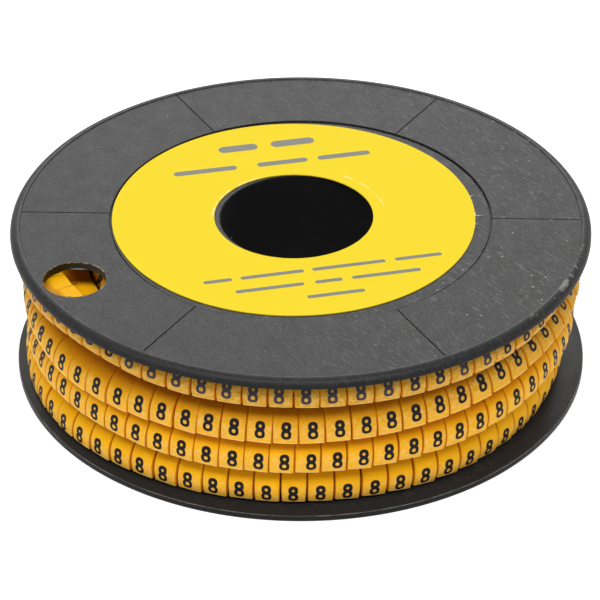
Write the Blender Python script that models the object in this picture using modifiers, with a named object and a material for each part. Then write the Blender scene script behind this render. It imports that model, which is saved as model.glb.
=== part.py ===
# A plastic reel lying on its side, wound with a strip of slip-on cable markers.
# The reel is two mouldings pushed together. The upper flange carries the bore tube and the
# lower flange carries the drum that the strip is wound on. A round paper label lies in the
# recess of the upper flange. Metres, +Z up, origin under the bore on the surface it lies on.

import math

import bmesh
import bpy
from mathutils import Matrix, Vector

# Reel
REEL_HEIGHT = 0.0272
FLANGE_RADIUS = 0.0490
FLANGE_EDGE = 0.00145
FLANGE_SIDES = 72
RIM_RISE = 0.0002
RIM_FLAT = 0.0005
RIM_ROUND_WIDTH = 0.0012
RIM_ROUND_HEIGHT = 0.0012
RIM_ROUND_STEPS = 4
EDGE_BREAK = 0.00015
FIT_GAP = 0.0003

# Bore tube and drum
BORE_RADIUS = 0.0135
BORE_EDGE_ROUND = 0.0005
BORE_EDGE_STEPS = 2
TUBE_WALL = 0.0016
TUBE_INSET = 0.0002
DRUM_WALL = 0.0018

# The hole that the strip's end is threaded through, close inside the raised rim
THREAD_HOLE_RADIUS = 0.00515
THREAD_HOLE_FROM_RIM = 0.00035
THREAD_HOLE_ANGLE = math.radians(208.2)
THREAD_HOLE_SIDES = 32

# Recess for the label, and the label, which was stuck on off centre
RECESS_FROM_THREAD_HOLE = 0.00435
RECESS_DEPTH = 0.00045
LABEL_FROM_RECESS = 0.0016
LABEL_OVER_BORE = 0.00005
LABEL_CENTRE = (-0.0012, 0.0006)
LABEL_HOLE_CENTRE = (-0.00117, 0.00025)
LABEL_THICKNESS = 0.00015
LABEL_SEAT = 0.0002
LABEL_SIDES = 72

# Marking-out grooves
GROOVE_COUNT = 6
GROOVE_WIDTH = 0.0003
GROOVE_DEPTH = 0.0002
GROOVE_TURN = math.radians(-1.5)

# Strip of markers, wound in layers of four turns. The turns overlap like roof tiles, so the
# strip is wider than a quarter of the winding's height.
MARKERS_PER_TURN = 72
FIRST_CUT = 1.3
TURN_STAGGER = 0.4
ROWS = 4
LAYERS = 4
STRIP_WIDTH_SHARE = 0.27
STRIP_THICKNESS = 0.0046
SLIT_WIDTH = 0.00024
SLIT_DEPTH = 0.0007
LOW_LAYER_DROP = 0.0055
WINDING_FROM_RIM = 0.0015

# Section of one turn: each point stands in from the turn's edge radius, and up or down from
# the edges above and below it
TUCK_IN = 0.0018
TUCK_UP = 0.00025
SHOULDER_IN = 0.0007
SHOULDER_DOWN = 0.0011
BULGE_OUT = 0.0001
BULGE_SHARE = 0.52
FOOT_IN = 0.00025

# Where the lower edge of each turn runs, at seven places round the front of the reel.
# First its place up the winding, as a share of the winding's height, and then how far it
# lies inside WINDING_RADIUS. The lowest turn rests on the lower flange.
STATION_ANGLES = (200, 225, 250, 270, 300, 320, 340)
TURN_HEIGHTS = (
    (0.000, 0.000, 0.000, 0.000, 0.000, 0.000, 0.000),
    (0.262, 0.281, 0.272, 0.274, 0.289, 0.317, 0.344),
    (0.445, 0.492, 0.519, 0.527, 0.563, 0.620, 0.645),
    (0.757, 0.876, 0.823, 0.827, 0.831, 0.850, 0.941),
)
TURN_INSETS = (
    (0.0000, 0.0004, 0.0011, 0.0014, 0.0018, 0.0019, 0.0021),
    (0.0002, 0.0002, 0.0003, 0.0004, 0.0006, 0.0007, 0.0008),
    (0.0006, 0.0003, 0.0001, 0.0001, 0.0002, 0.0002, 0.0002),
    (0.0007, 0.0003, 0.0001, 0.0000, 0.0000, 0.0001, 0.0001),
)
STATION_BLEND = 10
INNER_END_GROWS = (2, 12)
OUTER_END_FADES = (344, 352)

# Making the meshes
SHARP_ANGLE = math.radians(30)
SEAM_MERGE = 0.00001
POINT_MERGE = 0.000002
PLASTIC_COLOUR = (0.07, 0.07, 0.072)
PAPER_COLOUR = (0.95, 0.72, 0.04)
VINYL_COLOUR = (0.90, 0.48, 0.02)

# What follows from these
DISC_TOP = REEL_HEIGHT - RIM_RISE
RECESS_FLOOR = DISC_TOP - RECESS_DEPTH
RIM_INNER_RADIUS = FLANGE_RADIUS - RIM_ROUND_WIDTH - RIM_FLAT
UPPER_FACE = REEL_HEIGHT - FLANGE_EDGE
LOWER_FACE = FLANGE_EDGE
TUBE_RADIUS = BORE_RADIUS + TUBE_WALL
THREAD_HOLE_DISTANCE = RIM_INNER_RADIUS - THREAD_HOLE_FROM_RIM - THREAD_HOLE_RADIUS
RECESS_RADIUS = THREAD_HOLE_DISTANCE - THREAD_HOLE_RADIUS - RECESS_FROM_THREAD_HOLE
LABEL_RADIUS = RECESS_RADIUS - LABEL_FROM_RECESS
LABEL_HOLE_RADIUS = BORE_RADIUS - LABEL_OVER_BORE
WINDING_RADIUS = FLANGE_RADIUS - WINDING_FROM_RIM
WINDING_TOP = UPPER_FACE - FIT_GAP
WINDING_BOTTOM = LOWER_FACE + FIT_GAP
WINDING_HEIGHT = WINDING_TOP - WINDING_BOTTOM
STRIP_WIDTH = STRIP_WIDTH_SHARE * WINDING_HEIGHT
LAYER_RADIUS = WINDING_RADIUS - BULGE_OUT - STRIP_THICKNESS
LOW_LAYER_RADIUS = LAYER_RADIUS - STRIP_THICKNESS
WINDING_BORE = WINDING_RADIUS - BULGE_OUT - LAYERS * STRIP_THICKNESS
DRUM_RADIUS = WINDING_BORE - FIT_GAP
FULL_TURN = 2 * math.pi


def clear_scene():
    for obj in list(bpy.data.objects):
        bpy.data.objects.remove(obj, do_unlink=True)


def new_collection(name):
    collection = bpy.data.collections.new(name)
    bpy.context.scene.collection.children.link(collection)
    return collection


def plain_material(name, colour, roughness):
    material = bpy.data.materials.new(name)
    material.use_nodes = True
    shader = material.node_tree.nodes["Principled BSDF"]
    shader.inputs["Base Color"].default_value = (*colour, 1.0)
    shader.inputs["Roughness"].default_value = roughness
    shader.inputs["Metallic"].default_value = 0.0
    return material


def add_object(name, mesh, collection, material=None):
    obj = bpy.data.objects.new(name, mesh)
    collection.objects.link(obj)
    if material:
        mesh.materials.append(material)
    return obj


def shade(mesh):
    mesh.shade_smooth()
    mesh.set_sharp_from_angle(angle=SHARP_ANGLE)


def quarter_round(centre, half_width, half_height, start, end, steps):
    """Points on an ellipse round centre, from the start angle to the end angle."""
    points = []
    for step in range(steps + 1):
        angle = start + (end - start) * step / steps
        across = centre[0] + half_width * math.cos(angle)
        up = centre[1] + half_height * math.sin(angle)
        points.append((across, up))
    return points


def turned_object(name, profile, collection, material):
    """A closed profile of (radius, height) points turned round the reel's axis."""
    mesh = bpy.data.meshes.new(name)
    vertices = [(radius, 0.0, height) for radius, height in profile]
    count = len(profile)
    edges = [(i, (i + 1) % count) for i in range(count)]
    mesh.from_pydata(vertices, edges, [])
    obj = add_object(name, mesh, collection, material)
    screw = obj.modifiers.new("turn", "SCREW")
    screw.steps = FLANGE_SIDES
    screw.render_steps = FLANGE_SIDES
    screw.use_merge_vertices = True
    screw.merge_threshold = SEAM_MERGE
    view = bpy.context.evaluated_depsgraph_get()
    turned = bpy.data.meshes.new_from_object(obj.evaluated_get(view))
    obj.modifiers.clear()
    obj.data = turned
    shade(turned)
    return obj


def rim_outline():
    """The outer edge of the upper flange, from its raised rim round to its winding face."""
    centre = (FLANGE_RADIUS - RIM_ROUND_WIDTH, REEL_HEIGHT - RIM_ROUND_HEIGHT)
    points = [(RIM_INNER_RADIUS, DISC_TOP), (RIM_INNER_RADIUS, REEL_HEIGHT)]
    points += quarter_round(
        centre, RIM_ROUND_WIDTH, RIM_ROUND_HEIGHT, math.pi / 2, 0.0, RIM_ROUND_STEPS
    )
    points.append((FLANGE_RADIUS, UPPER_FACE + EDGE_BREAK))
    points.append((FLANGE_RADIUS - EDGE_BREAK, UPPER_FACE))
    return points


def upper_profile():
    """The upper flange with the bore tube that reaches down through the lower flange."""
    edge_centre = (BORE_RADIUS + BORE_EDGE_ROUND, RECESS_FLOOR - BORE_EDGE_ROUND)
    points = quarter_round(
        edge_centre, BORE_EDGE_ROUND, BORE_EDGE_ROUND, math.pi, math.pi / 2, BORE_EDGE_STEPS
    )
    points += [(RECESS_RADIUS, RECESS_FLOOR), (RECESS_RADIUS, DISC_TOP)]
    points += rim_outline()
    points += [(TUBE_RADIUS, UPPER_FACE), (TUBE_RADIUS, TUBE_INSET), (BORE_RADIUS, TUBE_INSET)]
    return points


def lower_profile():
    """The lower flange, the upper one turned over, with the drum standing on it."""
    drum_top = UPPER_FACE - FIT_GAP
    drum_inside = DRUM_RADIUS - DRUM_WALL
    socket = TUBE_RADIUS + FIT_GAP
    floor = REEL_HEIGHT - RECESS_FLOOR
    points = [(drum_inside, drum_top), (DRUM_RADIUS, drum_top), (DRUM_RADIUS, LOWER_FACE)]
    points += [(radius, REEL_HEIGHT - height) for radius, height in reversed(rim_outline())]
    points += [(RECESS_RADIUS, RIM_RISE), (RECESS_RADIUS, floor)]
    points += [(socket, floor), (socket, LOWER_FACE), (drum_inside, LOWER_FACE)]
    return points


def groove_cutter(collection):
    """Six thin bars from the label recess to the rim, half sunk in the flange."""
    mesh = bpy.data.meshes.new("groove_cutter")
    shape = bmesh.new()
    start = RECESS_RADIUS - GROOVE_WIDTH
    length = RIM_INNER_RADIUS - start
    size = Matrix.Diagonal((length, GROOVE_WIDTH, 2 * GROOVE_DEPTH, 1.0))
    place = Matrix.Translation((start + length / 2, 0.0, DISC_TOP))
    for index in range(GROOVE_COUNT):
        turn = Matrix.Rotation(GROOVE_TURN + index * FULL_TURN / GROOVE_COUNT, 4, "Z")
        bmesh.ops.create_cube(shape, size=1.0, matrix=turn @ place @ size)
    shape.to_mesh(mesh)
    shape.free()
    return add_object("groove_cutter", mesh, collection)


def round_cutter(name, radius, centre, height, depth, sides, collection):
    """An upright cylinder standing on centre, from height up over depth."""
    mesh = bpy.data.meshes.new(name)
    shape = bmesh.new()
    place = Matrix.Translation((centre[0], centre[1], height + depth / 2))
    bmesh.ops.create_cone(
        shape,
        cap_ends=True,
        segments=sides,
        radius1=radius,
        radius2=radius,
        depth=depth,
        matrix=place,
    )
    shape.to_mesh(mesh)
    shape.free()
    return add_object(name, mesh, collection)


def hide_cutter(cutter):
    cutter.hide_render = True
    cutter.display_type = "WIRE"


def cut(obj, cutter, name):
    modifier = obj.modifiers.new(name, "BOOLEAN")
    modifier.operation = "DIFFERENCE"
    modifier.solver = "EXACT"
    modifier.object = cutter


def polar(distance, angle):
    return (distance * math.cos(angle), distance * math.sin(angle))


def build_flanges(parts, cutters, plastic):
    upper = turned_object("upper_flange", upper_profile(), parts, plastic)
    lower = turned_object("lower_flange", lower_profile(), parts, plastic)
    grooves = groove_cutter(cutters)
    hide_cutter(grooves)
    cut(upper, grooves, "grooves")
    low_grooves = add_object("low_groove_cutter", grooves.data, cutters)
    low_grooves.location.z = RIM_RISE - DISC_TOP
    hide_cutter(low_grooves)
    cut(lower, low_grooves, "grooves")
    hole = round_cutter(
        "thread_hole_cutter",
        THREAD_HOLE_RADIUS,
        polar(THREAD_HOLE_DISTANCE, THREAD_HOLE_ANGLE),
        UPPER_FACE - FLANGE_EDGE,
        3 * FLANGE_EDGE,
        THREAD_HOLE_SIDES,
        cutters,
    )
    hide_cutter(hole)
    cut(upper, hole, "thread_hole")


def build_label(parts, cutters, paper):
    bottom = RECESS_FLOOR + LABEL_SEAT
    label = round_cutter(
        "ring_label", LABEL_RADIUS, LABEL_CENTRE, bottom, LABEL_THICKNESS, LABEL_SIDES, parts
    )
    label.data.materials.append(paper)
    hole = round_cutter(
        "label_hole_cutter",
        LABEL_HOLE_RADIUS,
        LABEL_HOLE_CENTRE,
        bottom - LABEL_THICKNESS,
        3 * LABEL_THICKNESS,
        LABEL_SIDES,
        cutters,
    )
    hide_cutter(hole)
    cut(label, hole, "bore")


def turn_path():
    """Stations along the wound strip: (total angle in degrees, height, radius)."""
    path = []
    for turn, (heights, insets) in enumerate(zip(TURN_HEIGHTS, TURN_INSETS)):
        for angle, share, inset in zip(STATION_ANGLES, heights, insets):
            height = WINDING_BOTTOM + share * WINDING_HEIGHT
            path.append((angle + 360.0 * turn, height, WINDING_RADIUS - inset))
    first, last = path[0], path[-1]
    path.insert(0, (first[0] - 360.0, first[1], first[2]))
    path.append((last[0] + 360.0, last[1], last[2]))
    return path


PATH = turn_path()


def between_stations(angle):
    """Height and radius of the strip's lower edge on straight runs between stations."""
    for here, ahead in zip(PATH, PATH[1:]):
        if angle <= ahead[0]:
            share = (angle - here[0]) / (ahead[0] - here[0])
            height = here[1] + share * (ahead[1] - here[1])
            radius = here[2] + share * (ahead[2] - here[2])
            return Vector((radius, height))
    return Vector((PATH[-1][2], PATH[-1][1]))


def edge_at(angle):
    """(radius, height) of the strip's lower edge, eased over the stations."""
    total = Vector((0.0, 0.0))
    samples = (-2, -1, 0, 1, 2)
    for sample in samples:
        total += between_stations(angle + sample * STATION_BLEND / 2)
    return total / len(samples)


def ramp(value, start, end):
    share = min(max((value - start) / (end - start), 0.0), 1.0)
    return share * share * (3 - 2 * share)


def cut_angle(column):
    """Where the cut between two markers lies round the reel, in degrees."""
    return FIRST_CUT + column * 360.0 / MARKERS_PER_TURN


def tuck(edge):
    """The point behind a turn's lower edge, where the turn below disappears."""
    return Vector((edge.x - TUCK_IN, edge.y + TUCK_UP, edge.z))


def row_edges(column):
    """Lower edges of the turns at one cut, top turn first, after a virtual edge over them.

    Each edge is (radius, height, stagger), where the stagger is how many degrees the turn's
    cut lies past its column. Also gives how much of each turn is there, and the top height.
    """
    step = 360.0 / MARKERS_PER_TURN
    angle = cut_angle(column)
    inner_end = ramp(angle, *INNER_END_GROWS)
    outer_end = 1.0 - ramp(angle, *OUTER_END_FADES)
    fades = [outer_end] + [1.0] * (ROWS - 2) + [inner_end]
    turns = []
    for row in reversed(range(ROWS)):
        stagger = TURN_STAGGER * step * (column / MARKERS_PER_TURN + row)
        turns.append(Vector((*edge_at(angle + 360.0 * row), stagger)))
    full_top = min(WINDING_TOP, turns[0].y + STRIP_WIDTH)
    ended_top = min(WINDING_TOP, turns[1].y + STRIP_WIDTH)
    top = ended_top + (full_top - ended_top) * outer_end
    above = Vector((LAYER_RADIUS + TUCK_IN + FIT_GAP, top - TUCK_UP, TURN_STAGGER * step * ROWS))
    edges = [above]
    for turn, fade in zip(turns, fades):
        above = above.lerp(turn, fade)
        edges.append(above)
    return edges, fades, top


def row_section(upper, edge, fade):
    """Four points down one turn, drawn into the turn above where the strip ends."""
    tall = upper.y - edge.y
    shoulder = min(SHOULDER_DOWN, tall / 3)
    start = tuck(upper)
    points = [
        Vector((edge.x - SHOULDER_IN, upper.y - shoulder, edge.z)),
        Vector((edge.x + BULGE_OUT, edge.y + BULGE_SHARE * tall, edge.z)),
        Vector((edge.x - FOOT_IN, edge.y, edge.z)),
    ]
    return [start] + [start.lerp(point, fade) for point in points]


def outer_column(column, side):
    """Points down the outside of the winding at one cut: side -1, 0 or 1 of the slit."""
    half_slit = math.degrees(SLIT_WIDTH / 2 / WINDING_RADIUS)
    angle = cut_angle(column) + side * half_slit
    edges, fades, top = row_edges(column)
    section = []
    for upper, edge, fade in zip(edges, edges[1:], fades):
        section += row_section(upper, edge, fade)
    under = tuck(edges[-1])
    section.append(under)
    deep = SLIT_DEPTH if side == 0 else 0.0
    points = []
    for radius, height, stagger in section:
        across = polar(radius - deep, math.radians(angle + stagger))
        points.append((*across, height))
    return points, top, under.y


def inner_ring(radius, column):
    return Vector((*polar(radius, math.radians(cut_angle(column))), 0.0))


def wall_point(radius, column, side, height):
    """A point on the flat wall between two cuts, near the cut at column."""
    share = SLIT_WIDTH / 2 / WINDING_RADIUS * MARKERS_PER_TURN / FULL_TURN
    here = inner_ring(radius, column)
    beside = inner_ring(radius, column + side)
    place = here.lerp(beside, share)
    return (place.x, place.y, height)


def strip_columns(shape):
    """Vertices of the winding: three outer columns and one inner column for each marker."""
    columns = []
    for column in range(MARKERS_PER_TURN + 1):
        outer = []
        for side in (-1, 0, 1):
            points, top, under = outer_column(column, side)
            first = wall_point(LAYER_RADIUS, column, side, top)
            last = wall_point(LAYER_RADIUS, column, side, under)
            whole = [first] + points + [last]
            outer.append([shape.verts.new(point) for point in whole])
        low_top = WINDING_TOP - LOW_LAYER_DROP
        inner = []
        for radius, height in (
            (LAYER_RADIUS, WINDING_BOTTOM),
            (WINDING_BORE, WINDING_BOTTOM),
            (WINDING_BORE, WINDING_TOP),
            (LOW_LAYER_RADIUS, WINDING_TOP),
            (LOW_LAYER_RADIUS, low_top),
            (LAYER_RADIUS, low_top),
        ):
            place = inner_ring(radius, column)
            inner.append(shape.verts.new((place.x, place.y, height)))
        columns.append((outer, inner))
    return columns


def join_columns(shape, near, far):
    """Faces across one marker, between the cut at its start and the cut at its end."""
    near_outer, near_inner = near
    far_outer, far_inner = far
    strips = (near_outer[1], near_outer[2], far_outer[0], far_outer[1])
    for left, right in zip(strips, strips[1:]):
        for row in range(len(left) - 1):
            shape.faces.new((left[row], left[row + 1], right[row + 1], right[row]))
    for row in range(len(near_inner) - 1):
        shape.faces.new(
            (near_inner[row], near_inner[row + 1], far_inner[row + 1], far_inner[row])
        )
    tops = [strip[0] for strip in strips]
    bottoms = [strip[-1] for strip in strips]
    shape.faces.new([near_inner[-1]] + tops + [far_inner[-1]])
    shape.faces.new([far_inner[0]] + list(reversed(bottoms)) + [near_inner[0]])


def build_strip(parts, vinyl):
    """The wound strip as one solid, lofted from marker to marker round the drum."""
    mesh = bpy.data.meshes.new("marker_strip")
    shape = bmesh.new()
    columns = strip_columns(shape)
    for near, far in zip(columns, columns[1:]):
        join_columns(shape, near, far)
    bmesh.ops.remove_doubles(shape, verts=shape.verts, dist=POINT_MERGE)
    bmesh.ops.dissolve_degenerate(shape, dist=POINT_MERGE, edges=shape.edges)
    bmesh.ops.recalc_face_normals(shape, faces=shape.faces)
    shape.to_mesh(mesh)
    shape.free()
    shade(mesh)
    add_object("marker_strip", mesh, parts, vinyl)


def main():
    clear_scene()
    parts = new_collection("cable_marker_reel")
    cutters = new_collection("cutters")
    plastic = plain_material("black_plastic", PLASTIC_COLOUR, 0.5)
    paper = plain_material("yellow_paper", PAPER_COLOUR, 0.6)
    vinyl = plain_material("yellow_vinyl", VINYL_COLOUR, 0.45)
    build_flanges(parts, cutters, plastic)
    build_label(parts, cutters, paper)
    build_strip(parts, vinyl)


main()
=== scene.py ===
# A reel of slip-on cable markers, lying flat on its lower flange.
# Sizes are in millimetres, and turned to metres where a mesh is made and in the materials.
# Angles are in degrees, anticlockwise from +X, seen from above. The camera looks from -Y.

import functools
import math
import random

import bmesh
import bpy
import numpy as np
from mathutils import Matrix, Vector


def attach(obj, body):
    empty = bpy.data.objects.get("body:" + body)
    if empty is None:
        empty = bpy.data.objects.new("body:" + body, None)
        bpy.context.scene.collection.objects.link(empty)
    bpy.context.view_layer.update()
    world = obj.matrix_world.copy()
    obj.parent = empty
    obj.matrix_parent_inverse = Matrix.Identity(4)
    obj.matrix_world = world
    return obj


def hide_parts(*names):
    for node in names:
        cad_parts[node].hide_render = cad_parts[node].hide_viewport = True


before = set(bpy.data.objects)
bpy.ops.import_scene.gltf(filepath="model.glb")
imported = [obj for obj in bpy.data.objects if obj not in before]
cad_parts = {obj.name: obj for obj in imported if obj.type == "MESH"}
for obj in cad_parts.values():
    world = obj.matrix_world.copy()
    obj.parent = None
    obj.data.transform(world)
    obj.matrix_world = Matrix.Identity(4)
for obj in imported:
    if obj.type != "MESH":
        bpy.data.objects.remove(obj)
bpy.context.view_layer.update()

MM = 0.001
DRAWS = random.Random(8)

# Camera: its place and clipping in metres, its tilt from straight down, sensor and lens
CAMERA_PLACE = (-0.000121, -0.388714, 0.267869)
CAMERA_TILT = 56.43
CAMERA_SENSOR = 36.0
CAMERA_LENS = 162.3
CAMERA_CLIP = (0.01, 20.0)

# Reel, with the sizes of its solids
REEL_HEIGHT = 27.2
FLANGE_RADIUS = 49.0
FLANGE_EDGE = 1.45
RIM_RISE = 0.2
RIM_FLAT = 0.5
RIM_ROUND = 1.2
RIM_TOP_END = 0.24
# From the disc up to the rim's flat top: how far out, and the share of the rise still left
RIM_STEP = ((-0.02, 1.0), (0.02, 0.85), (0.10, 0.15), (0.17, 0.0))
RIM_STEPS = 16
# The thin pale lines at these radii are painted highlights along the rims' edges, and stand for a
# little wear too
RIM_HIGHLIGHT_LINE = 47.5
LOWER_HIGHLIGHT_LINE = 48.95
LOWER_RIM_ROUND = 0.22
LOWER_SLOPE_START = 44.0
LOWER_EDGE = 1.08
EDGE_BREAK = 0.15
EDGE_NIP = 0.04
EDGE_STEPS = 8
FIT_GAP = 0.3
BORE_RADIUS = 13.5
BORE_EDGE_ROUND = 0.25
TUBE_WALL = 1.6
TUBE_INSET = 0.2
TUBE_CHAMFER = 0.2
DRUM_RADIUS = 28.7
DRUM_WALL = 1.8
RECESS_RADIUS = 32.3
RECESS_DEPTH = 0.26
RECESS_EDGE = 0.06
# Fine groove round the recess, with the slopes of its inner and outer wall
RING_WIDTH = 0.32
RING_DEPTH = 0.22
RING_SLOPES = (0.08, 0.04)
GROOVE_COUNT = 6
GROOVE_WIDTH = 0.3
GROOVE_DEPTH = 0.2
GROOVE_TURN = -1.5
GROOVE_FOOT_SHARE = 0.5
GROOVE_OVERLAP = 0.5
THREAD_HOLE_RADIUS = 5.15
THREAD_HOLE_DISTANCE = 41.8
THREAD_HOLE_ANGLE = 208.2
THREAD_HOLE_SIDES = 160
THREAD_HOLE_ROUGH = 0.08
BURR_STEPS = 12
BURR_BITE = 0.12
BURR_LEAST = 0.02
REEL_SIDES = 288
CUTTER_OVERLAP = 1.0
# Waves that make a cut edge wander: how many, their turns, last phase and sizes
WAVE_COUNT = 9
WAVE_TURNS = (3, 40)
WAVE_PHASE = 6.28
WAVE_SIZES = (0.2, 1)

# Label
LABEL_RADIUS = 30.7
LABEL_HOLE_RADIUS = 13.45
LABEL_CENTRE = (-1.2, 0.6)
LABEL_HOLE_CENTRE = (-1.17, 0.25)
LABEL_THICKNESS = 0.15
LABEL_SEAT = 0.01
LABEL_ROUGH = 0.03
LABEL_HOLE_ROUGH = 0.10
LABEL_SIDES = 288
LABEL_TURN = 12.8
# Plain bars of ink where lines of print stand: their foot, height, and (start, end) pairs
LABEL_BARS = (
    (22.6, 2.1, ((-8.2, -1.2), (1.2, 9.0))),
    (16.6, 1.4, ((-17.4, -6.2), (-2.6, 6.4), (8.2, 17.6))),
    (-17.9, 0.9, ((-19.0, -14.2), (-12.8, -2.2), (-0.8, 11.6), (13.2, 21.2))),
    (-21.7, 0.9, ((-14.4, -3.0), (-1.2, 3.4), (5.0, 16.6))),
    (-25.7, 0.9, ((-3.4, 6.2),)),
)
BAR_LIFT = 0.015
BAR_SIDES = 10
# Threads of torn paper at the label's edge: place, direction and length
LABEL_FRAYS = (
    (29.4, 0.2, 0.0, 1.4), (29.5, 0.5, 82.0, 0.7), (28.9, 6.0, 70.0, 0.8), (29.1, 6.6, 10.0, 0.5),
    (29.3, -2.4, -15.0, 0.5), (29.1, -3.4, 20.0, 0.45), (26.3, -12.4, -30.0, 0.5),
)
FRAY_WIDTH = 0.16
FRAY_SPAN = (-0.05, 0.03)
# Rubbed places: distance from the hole's middle, their width, first and last angle
LABEL_WEAR = ((13.7, 0.5, 112.0, 196.0), (15.6, 0.45, 8.0, 66.0), (31.3, 0.55, 118.0, 160.0))

# Winding: the lower edge of each turn at places round the reel, bottom turn first.
# Heights are above the reel's foot, and insets are from the winding's outer radius.
WINDING_RADIUS = 47.5
STATION_ANGLES = (196, 205, 213, 221, 229, 240, 252, 270, 290, 302, 312, 320, 328, 336, 345)
TURN_HEIGHTS = (
    (1.8,) * len(STATION_ANGLES),
    (7.9, 8.1, 8.25, 8.35, 8.4, 8.25, 8.2, 8.25, 8.5, 8.6, 8.75, 9.3, 9.7, 9.9, 9.9),
    (14.2, 13.9, 13.2, 13.4, 13.7, 14.0, 14.1, 14.2, 14.8, 15.2, 15.8, 16.4, 16.9, 17.3, 17.7),
    (20.9, 21.1, 22.1, 22.7, 22.3, 21.5, 21.2, 21.3, 21.3, 21.4, 21.6, 21.9, 22.6, 23.5, 24.1),
)
TURN_INSETS = (
    (0.0, 0.0, 0.0, 0.0, 0.45, 0.8, 1.1, 1.4, 1.6, 1.7, 2.1, 2.4, 2.5, 2.65, 2.6),
    (0.2, 0.2, 0.2, 0.2, 0.25, 0.3, 0.3, 0.4, 0.6, 0.65, 0.7, 0.7, 0.7, 0.7, 0.7),
    (0.1, 0.1, 0.1, 0.1, 0.1, 0.1, 0.1, 0.1, 0.1, 0.15, 0.15, 0.1, 0.1, 0.0, -0.1),
    (0.0, 0.0, 0.1, 0.1, 0.1, 0.1, 0.1, 0.0, 0.0, 0.0, 0.1, 0.1, 0.1, 0.1, 0.0),
)
# How far each turn's face leans out from its usual round, in degrees
TURN_LEANS = (
    (0, 0, 0, 3, 6, 9, 9, 12, 12, 13, 14, 16, 18, 18, 18),
    (0, 0, 0, 1, 3, 4, 5, 9, 9, 9, 8, 5, 3, 2, 2),
    (0, -2, -2, -2, -2, -1, 0, 2, 2, -3, -8, -16, -21, -23, -23),
    (22, 22, 20, 18, 16, 14, 12, 12, 12, 12, 12, 12, 12, 12, 12),
)
# How far each turn's markers tip along the strip from its own line, in degrees
TURN_TIPS = (
    (0, 0, 0, 0, 0, 0, 0, 0, 4, 4, 3, 3, 2, 2, 2),
    (0, 0, 1.5, 1.5, 1.5, 1.5, 1.5, 2, 3.5, 3.5, 4.5, 4, 3, 2, 2),
    (0, 0, 2, 3, 3, 3, 2.5, 1.5, 1.5, 2.5, 3.5, 3, 2, 2, 2),
    (2, 2.6, 2.2, 0, -1, -0.6, 0, 0, 1, 1.5, 2, 3.5, 5, 4, 2.5),
)
# From each turn's lower edge up its face to the foot of the digit
DIGIT_GAPS = (
    (-0.2, -0.1, 0.05, 0.25, 0.3, 0.38, 0.4, 0.25, 0.25, 0.3, 0.28, 0.2, 0.15, 0.0, 0.0),
    (1.0, 1.0, 0.55, 0.35, 0.42, 0.5, 0.5, 0.6, 0.85, 0.9, 0.85, 0.7, 0.5, 0.2, 0.1),
    (0.7, 0.8, 0.35, 0.65, 0.8, 0.75, 0.95, 0.8, 0.9, 1.3, 1.5, 1.5, 1.6, 1.65, 1.65),
    (1.7, 1.6, 1.5, 1.3, 1.2, 1.1, 0.95, 0.75, 0.9, 0.95, 0.7, 0.6, 0.5, 0.4, 0.4),
)
# How far the digit stands to one side of its marker's middle
DIGIT_OFFSETS = (
    (-0.3, -0.3, -0.3, -0.3, -0.3, -0.3, -0.28, 0.0, -0.05, -0.1, -0.15, -0.2, -0.2, -0.2, -0.2),
    (0.0, 0.0, 0.0, 0.0, 0.0, 0.05, 0.1, 0.6, 0.5, 0.4, 0.3, 0.2, 0.2, 0.1, 0.1),
    (0.1, 0.1, 0.15, 0.2, 0.2, 0.1, 0.05, 0.2, 0.3, 0.4, 0.3, 0.2, 0.2, 0.2, 0.2),
    (-0.3, -0.3, -0.3, -0.3, -0.3, -0.3, -0.3, -0.2, 0.1, 0.2, 0.3, 0.35, 0.3, 0.3, 0.3),
)
# How wide the cuts between markers gape at the lower edge
CUT_WIDTHS = (
    (0.24, 0.24, 0.25, 0.26, 0.28, 0.32, 0.34, 0.36, 0.34, 0.32, 0.3, 0.26, 0.24, 0.2, 0.2),
    (0.2, 0.2, 0.2, 0.2, 0.2, 0.24, 0.26, 0.3, 0.26, 0.24, 0.2, 0.16, 0.16, 0.14, 0.14),
    (0.16, 0.16, 0.16, 0.16, 0.16, 0.18, 0.2, 0.22, 0.2, 0.18, 0.16, 0.14, 0.14, 0.12, 0.12),
    (0.26, 0.26, 0.26, 0.26, 0.28, 0.3, 0.3, 0.32, 0.3, 0.28, 0.26, 0.24, 0.22, 0.2, 0.2),
)
STATION_BLEND = 6
# Counted digits, and where they stand along the strip in degrees
COUNT_STATIONS = (
    (202.9, 0), (225.5, 4), (252.4, 9), (279.3, 14), (306.8, 19), (333.7, 24),
    (563.4, 69), (579.4, 72), (590.5, 74), (616.7, 79), (642.2, 84), (668.0, 89), (694.9, 94),
    (919.6, 138), (928.7, 140), (939.8, 142), (951.6, 144), (967.3, 147), (972.0, 148),
    (997.5, 153), (1023.0, 158), (1049.4, 163),
    (1299.7, 212), (1330.9, 218), (1356.0, 223), (1382.8, 228), (1399.6, 231),
)
COUNT_PITCH = 5.12
STRIP_START = 4.0
STRIP_END = 3 * 360.0 + 347.0
CLIMB_SPAN = 2.0

# Section of a marker, from its sharp lower edge: a short upright foot, then a round face
# that turns over to a nearly flat top. Points are (outwards, up).
UNDER_POINTS = ((-3.6, 1.7), (-2.2, 0.7), (-1.0, 0.2), (-0.16, 0.0))
FACE_START = ((-0.02, 0.03), (0.0, 0.12))
FACE_FOOT = 1.1
FACE_ROUND = 4.3
FACE_END = 82.0
FACE_STEPS = 15
TOP_POINTS = ((-4.2, 5.4), (-4.9, 5.3))
BACK_POINTS = ((-5.1, 4.6), (-4.8, 3.6))
SECTION_TALL = 5.4
# Across a marker: share of its half width, and how far that column is drawn in
ACROSS = (
    (-1.0, 0.38), (-0.96, 0.16), (-0.89, 0.04), (-0.40, 0.0),
    (0.40, 0.0), (0.89, 0.04), (0.96, 0.16), (1.0, 0.38),
)
# How far up the face columns are drawn in, as the first and last distance from the edge
DRAWN_IN = (-0.5, 9.0)
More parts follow.
